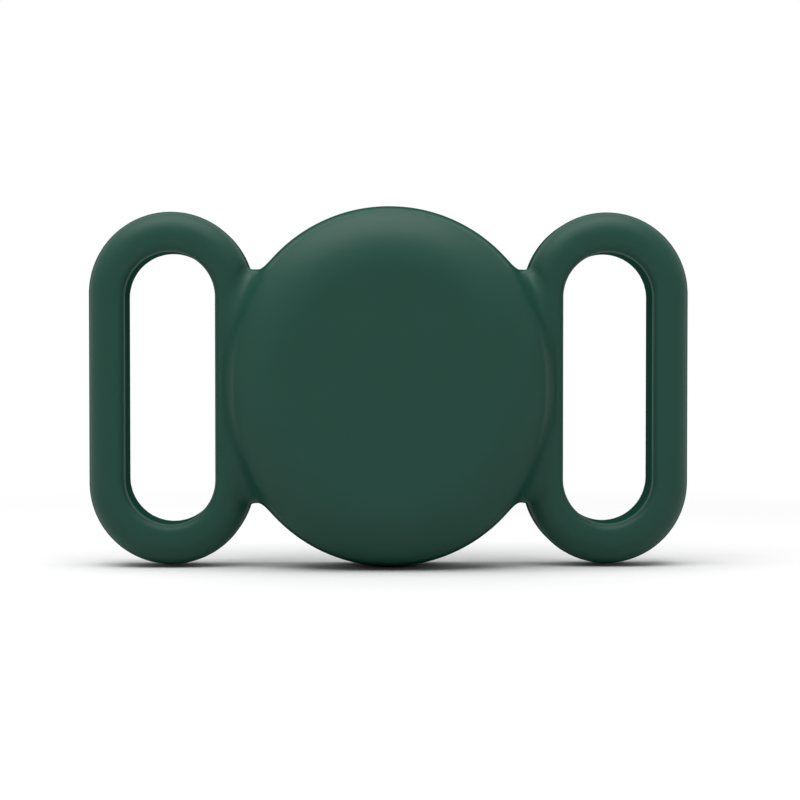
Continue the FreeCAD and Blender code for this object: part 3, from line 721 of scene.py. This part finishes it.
# %% Silicone
SILICONE_GREEN = (0.0105, 0.0575, 0.040)
SILICONE_SPREAD = 0.05
SILICONE_GLOSS = 0.20
NO_GLOSS = 0.0
SILICONE_ROUGHNESS = 0.44
GRAIN_ROUGHNESS = 0.08
SILICONE_GRAIN = 0.11 * MM
SILICONE_CLOUD = 5.0 * MM
SILICONE_RELIEF = 0.006 * MM
WITNESS_DEPTH = BACK - BACK_ROUND
WITNESS_WIDTH = 0.07 * MM
WITNESS_HEIGHT = 1.5
SLANT_BLEND = 0.5
SLANT_START = 0.65
SLANT_END = 0.85


def silicone():
    """Dull green silicone with a grain, clouds and the witness of the tool."""
    material, root = blank("silicone")
    place = object_place(root)
    grain = noise(place, SILICONE_GRAIN, FINE_DETAIL)
    cloud = noise(place, SILICONE_CLOUD)
    witness = abs(part_of(place, "Y") - WITNESS_DEPTH) < WITNESS_WIDTH
    skin = {
        "Base Color": clouded(SILICONE_GREEN, SILICONE_SPREAD, cloud),
        "Roughness": SILICONE_ROUGHNESS + GRAIN_ROUGHNESS * grain,
        "Normal": bump(grain + WITNESS_HEIGHT * witness, SILICONE_RELIEF),
    }
    glossy, dull = [
        root.make("ShaderNodeBsdfPrincipled", {}, {**skin, "Specular IOR Level": gloss})
        for gloss in (SILICONE_GLOSS, NO_GLOSS)
    ]
    slant = root.make("ShaderNodeLayerWeight", {}, {"Blend": SLANT_BLEND}, output="Facing")
    fade = rise(slant, SLANT_START, SLANT_END)
    show(root, root.make("ShaderNodeMixShader", {}, {0: fade, 1: glossy, 2: dull}))
    return material


FINISHES["silicone"] = silicone()
print("silicone has", len(FINISHES["silicone"].node_tree.nodes), "nodes")

# %% [markdown]
# ## Plastics, rubber and ceramics
# The tag's casing is white moulded plastic, polished on the front shell and satin on the base. Inside are a
# grey aerial carrier, black chip bodies, brown ceramic, the cell's grey gasket and black powder, a fibre
# separator and a rubber seal. They differ in colour, gloss and the size of their grain, so one recipe with
# those values serves them all.

# %% Plastics, rubber and ceramics
CLOUD_TO_GRAIN = 20
LEAST_ROUGH = 0.85
ROUGH_SPREAD = 0.3
COAT_ROUGHNESS = 0.08


def surface(root, sockets, height, relief):
    """The shader at the end of a finish, with a bump of some relief in metres."""
    sockets["Normal"] = bump(height, relief)
    show(root, root.make("ShaderNodeBsdfPrincipled", {}, sockets))


def moulded(name, colour, roughness, grain, relief, spread, coat):
    """A non-metal with cloudy colour, uneven gloss and a fine grain."""
    material, root = blank(name)
    place = object_place(root)
    fine = noise(place, grain, FINE_DETAIL)
    cloud = noise(place, CLOUD_TO_GRAIN * grain)
    sockets = {
        "Base Color": clouded(colour, spread, 0.5 * fine + 0.5 * cloud),
        "Roughness": roughness * (LEAST_ROUGH + ROUGH_SPREAD * fine),
        "Coat Weight": coat,
        "Coat Roughness": COAT_ROUGHNESS,
    }
    surface(root, sockets, fine, relief)
    return material


# Each row: colour, roughness, grain, relief, spread of the colour, coat.
MOULDED = {
    "white_shell": ((0.66, 0.66, 0.645), 0.24, 0.6 * MM, 0.002 * MM, 0.02, 0.4),
    "white_base": ((0.62, 0.62, 0.60), 0.42, 0.14 * MM, 0.004 * MM, 0.03, 0.0),
    "carrier_plastic": ((0.20, 0.20, 0.21), 0.50, 0.08 * MM, 0.005 * MM, 0.15, 0.0),
    "chip_black": ((0.014, 0.014, 0.015), 0.46, 0.04 * MM, 0.003 * MM, 0.25, 0.0),
    "ceramic": ((0.24, 0.15, 0.085), 0.38, 0.05 * MM, 0.003 * MM, 0.22, 0.0),
    "cell_plastic": ((0.09, 0.095, 0.10), 0.45, 0.10 * MM, 0.003 * MM, 0.08, 0.0),
    "cathode_black": ((0.011, 0.010, 0.010), 0.85, 0.06 * MM, 0.020 * MM, 0.35, 0.0),
    "separator_white": ((0.60, 0.59, 0.56), 0.90, 0.05 * MM, 0.015 * MM, 0.10, 0.0),
    "seal_rubber": ((0.016, 0.016, 0.017), 0.62, 0.07 * MM, 0.004 * MM, 0.15, 0.0),
}
for name, recipe in MOULDED.items():
    FINISHES[name] = moulded(name, *recipe)
print("moulded finishes:", len(MOULDED))

# %% [markdown]
# ## Metals
# Most metal here is turned or drawn about the tag's axis, so its polishing marks are fine rings. Noise over
# the distance from the axis, nearly constant round it, gives such rings. A second, larger noise dulls the
# metal in patches, as handling does.

# %% Metals
TAG_MIDDLE = (0.0, 0.0, MIDDLE.z)
ACROSS_AXIS = (1, 0, 1)
RING_DRIFT = 0.02
RING_DARK = 0.7
RING_LIGHT = 1.2
RING_ROUGHNESS = 0.5
PATCH_TO_PITCH = 30


def rings(place, pitch):
    """Noise that changes with the distance from the tag's axis and hardly at all round it."""
    centred = place.make("ShaderNodeVectorMath", {"operation": "SUBTRACT"}, {0: place, 1: TAG_MIDDLE})
    flat = centred.make("ShaderNodeVectorMath", {"operation": "MULTIPLY"}, {0: centred, 1: ACROSS_AXIS})
    parts = {"X": length(flat), "Y": part_of(centred, "Y"), "Z": RING_DRIFT * part_of(centred, "X")}
    return noise(place.make("ShaderNodeCombineXYZ", {}, parts), pitch, FINE_DETAIL)


def metal(name, colour, roughness, pitch, relief, dulling):
    """Metal with fine polishing rings and duller patches."""
    material, root = blank(name)
    place = object_place(root)
    marks = rings(place, pitch)
    patches = noise(place, PATCH_TO_PITCH * pitch)
    sockets = {
        "Base Color": mix(tone(colour, RING_DARK), tone(colour, RING_LIGHT), marks),
        "Metallic": 1.0,
        "Roughness": roughness + RING_ROUGHNESS * roughness * marks + dulling * patches,
    }
    surface(root, sockets, marks, relief)
    return material


# Each row: colour, roughness, pitch of the rings, relief, dulling in patches.
METALS = {
    "cover_steel": ((0.52, 0.515, 0.51), 0.18, 0.20 * MM, 0.002 * MM, 0.06),
    "cell_steel": ((0.58, 0.58, 0.57), 0.24, 0.06 * MM, 0.001 * MM, 0.10),
    "shield_steel": ((0.60, 0.60, 0.59), 0.34, 0.10 * MM, 0.002 * MM, 0.16),
    "yoke_steel": ((0.50, 0.49, 0.48), 0.30, 0.08 * MM, 0.001 * MM, 0.12),
    "magnet_nickel": ((0.58, 0.55, 0.50), 0.20, 0.10 * MM, 0.001 * MM, 0.10),
    "aerial_copper": ((0.72, 0.42, 0.27), 0.30, 0.05 * MM, 0.001 * MM, 0.20),
    "contact_gold": ((0.78, 0.56, 0.23), 0.24, 0.05 * MM, 0.001 * MM, 0.12),
    "lithium_grey": ((0.40, 0.40, 0.41), 0.55, 0.12 * MM, 0.004 * MM, 0.20),
}
for name, recipe in METALS.items():
    FINISHES[name] = metal(name, *recipe)
print("metal finishes:", len(METALS))

# %% [markdown]
# ## Coil and board
# The coil is enamelled copper wire, turn beside turn, so its finish is a row of ridges along the axis, and
# its colour is painted darker in the grooves between the turns, as painted shade, and lighter on the
# crests. The
# board is green lacquer over copper: the tracks under it show as slightly lighter lines, drawn here along
# the borders between square cells.

# %% Coil and board
WIRE_PITCH = 0.09 * MM
# Painted shade for the grooves between the turns of wire; the lighter colour is for the crests.
WIRE_GROOVE_SHADE = (0.20, 0.055, 0.018, 1)
WIRE_LIGHT = (0.62, 0.25, 0.10, 1)
WIRE_METALLIC = 0.9
WIRE_ROUGHNESS = 0.42
RIDGE_POLISH = 0.14
WIRE_RELIEF = 0.03 * MM
STAIN_SIZE = 1.5 * MM
STAIN_SHARE = 0.3
TRACK_CELL = 0.9 * MM
TRACK_BORDER = 0.42
LACQUER_DARK = (0.006, 0.040, 0.018, 1)
LACQUER_LIGHT = (0.020, 0.095, 0.045, 1)
LACQUER_ROUGHNESS = 0.30
WEAVE_ROUGHNESS = 0.12
WEAVE_SIZE = 0.3 * MM
WEAVE_SHARE = 0.2
TRACK_RELIEF = 0.02 * MM


def coil_copper():
    """Copper wire, turn beside turn along the axis, with painted shade in the grooves and darker stains."""
    material, root = blank("coil_copper")
    place = object_place(root)
    turn = part_of(place, "Y") * (2 * math.pi / WIRE_PITCH)
    ridge = 0.5 + 0.5 * turn.maths("SINE", turn)
    stain = noise(place, STAIN_SIZE)
    sockets = {
        # Colour by the ridge: painted shade in the grooves, the lighter copper on the crests, and stains
        # mixed in.
        "Base Color": mix(WIRE_GROOVE_SHADE, WIRE_LIGHT, (1 - STAIN_SHARE) * ridge + STAIN_SHARE * stain),
        "Metallic": WIRE_METALLIC,
        "Roughness": WIRE_ROUGHNESS - RIDGE_POLISH * ridge,
    }
    surface(root, sockets, ridge, WIRE_RELIEF)
    return material


def board_laminate():
    """Green lacquer, with the tracks and the weave of the laminate under it."""
    material, root = blank("board_laminate")
    place = object_place(root)
    cells = {"distance": "CHEBYCHEV", "feature": "F1"}
    border = place.make("ShaderNodeTexVoronoi", cells, {"Vector": place, "Scale": 1 / TRACK_CELL})
    track = border > TRACK_BORDER
    weave = noise(place, WEAVE_SIZE)
    sockets = {
        "Base Color": mix(LACQUER_DARK, LACQUER_LIGHT, (1 - WEAVE_SHARE) * track + WEAVE_SHARE * weave),
        "Roughness": LACQUER_ROUGHNESS + WEAVE_ROUGHNESS * weave,
    }
    surface(root, sockets, track + WEAVE_SHARE * weave, TRACK_RELIEF)
    return material


FINISHES["coil_copper"] = coil_copper()
FINISHES["board_laminate"] = board_laminate()
print("finishes in all:", len(FINISHES))

# %% [markdown]
# ## Putting the finishes on
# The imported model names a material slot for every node. New pieces got the same slot names, so the same
# table of finishes dresses both.

# %% Dress every piece
pieces = [holder, tag_shell, base_piece, cover_piece]
for piece in pieces:
    piece.data.materials.clear()
    piece.data.materials.append(FINISHES[piece["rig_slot"]])
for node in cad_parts.values():
    for node_slot in node.material_slots:
        node_slot.material = FINISHES[node_slot.material.name.split(".")[0]]
print("dressed:", len(pieces), "new pieces and", len(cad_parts), "nodes")

# %% [markdown]
# ## Table
# The holder stands on a pale table. Far from the object the table glows by itself, so that it melts into
# the white backdrop. Its paint is a little lighter for the camera than for the light that bounces off it.

# %% Table
TABLE_SIZE = 4.0
TABLE_WHITE = 0.75
TABLE_BOUNCE = 0.72
GLOW_START = 0.06
GLOW_END = 0.14
GLOW_STRENGTH = 1.0


def seen_directly(root):
    """1 for rays that see the backdrop: from the camera, or by way of a mirror or glass."""
    kinds = ("Is Camera Ray", "Is Glossy Ray", "Is Transmission Ray")
    rays = [root.make("ShaderNodeLightPath", output=kind) for kind in kinds]
    return rays[0].maths("MINIMUM", rays[0] + rays[1] + rays[2], 1.0)


def table_finish():
    """Pale paint that turns into an even glow far from the object."""
    material, root = blank("table_white")
    far = rise(length(object_place(root)), GLOW_START, GLOW_END)
    seen = seen_directly(root)
    shade = mix(tone(WHITE, TABLE_BOUNCE), tone(WHITE, TABLE_WHITE), seen)
    paint = root.make("ShaderNodeBsdfDiffuse", {}, {"Color": shade})
    glow = root.make("ShaderNodeEmission", {}, {"Strength": GLOW_STRENGTH})
    show(root, root.make("ShaderNodeMixShader", {}, {0: far * seen, 1: paint, 2: glow}))
    return material


bpy.ops.object.select_all(action="DESELECT")
bpy.ops.mesh.primitive_plane_add(size=TABLE_SIZE, location=(0, 0, HOLDER_LOW.z))
table = bpy.context.object
settle(table, "table")
table.data.materials.append(table_finish())
print("table in m:", [round(side, 2) for side in table.dimensions])

# %% [markdown]
# ## Lamp and backdrop
# One wide soft box hangs above, a little to the left and in front. Behind stands a white backdrop, in a
# room that is dim on the camera's side. The soft box makes the upper edges glow, the dim room keeps the
# front even and deep in colour, and the backdrop fills the shadow, which stays dark only where the holder
# touches the table or nearly does. What the camera or a shiny surface sees is white all round.

# %% Lamp and backdrop
LAMP_PLACE = Vector((-0.06, -0.11, 0.41))
LAMP_SIZE = (0.50, 0.34)
LAMP_POWER = 2.4
ROOM_DIM = 0.22
ROOM_START = -0.2
ROOM_END = 0.6

bpy.ops.object.light_add(type="AREA", location=LAMP_PLACE)
lamp = bpy.context.object
lamp.name = "soft_box"
lamp.data.shape = "RECTANGLE"
lamp.data.size, lamp.data.size_y = LAMP_SIZE
lamp.data.energy = LAMP_POWER

world = bpy.data.worlds.new("backdrop")
world.use_nodes = True
world.node_tree.nodes.clear()
bpy.context.scene.world = world
sky = Field(world.node_tree)
depth = part_of(sky.make("ShaderNodeTexCoord", output="Generated"), "Y")
span = {"Value": depth, "From Min": ROOM_START, "From Max": ROOM_END, "To Min": ROOM_DIM}
room = sky.make("ShaderNodeMapRange", {}, span)
level = room + seen_directly(sky) * (1 - room)
backdrop = sky.make("ShaderNodeBackground", {}, {"Color": tone(WHITE, 1), "Strength": level})
sky.make("ShaderNodeOutputWorld", {}, {"Surface": backdrop})
bpy.context.scene.view_settings.view_transform = "Standard"
print("soft box in m:", LAMP_SIZE, "at a height of", round(LAMP_PLACE.z, 2))
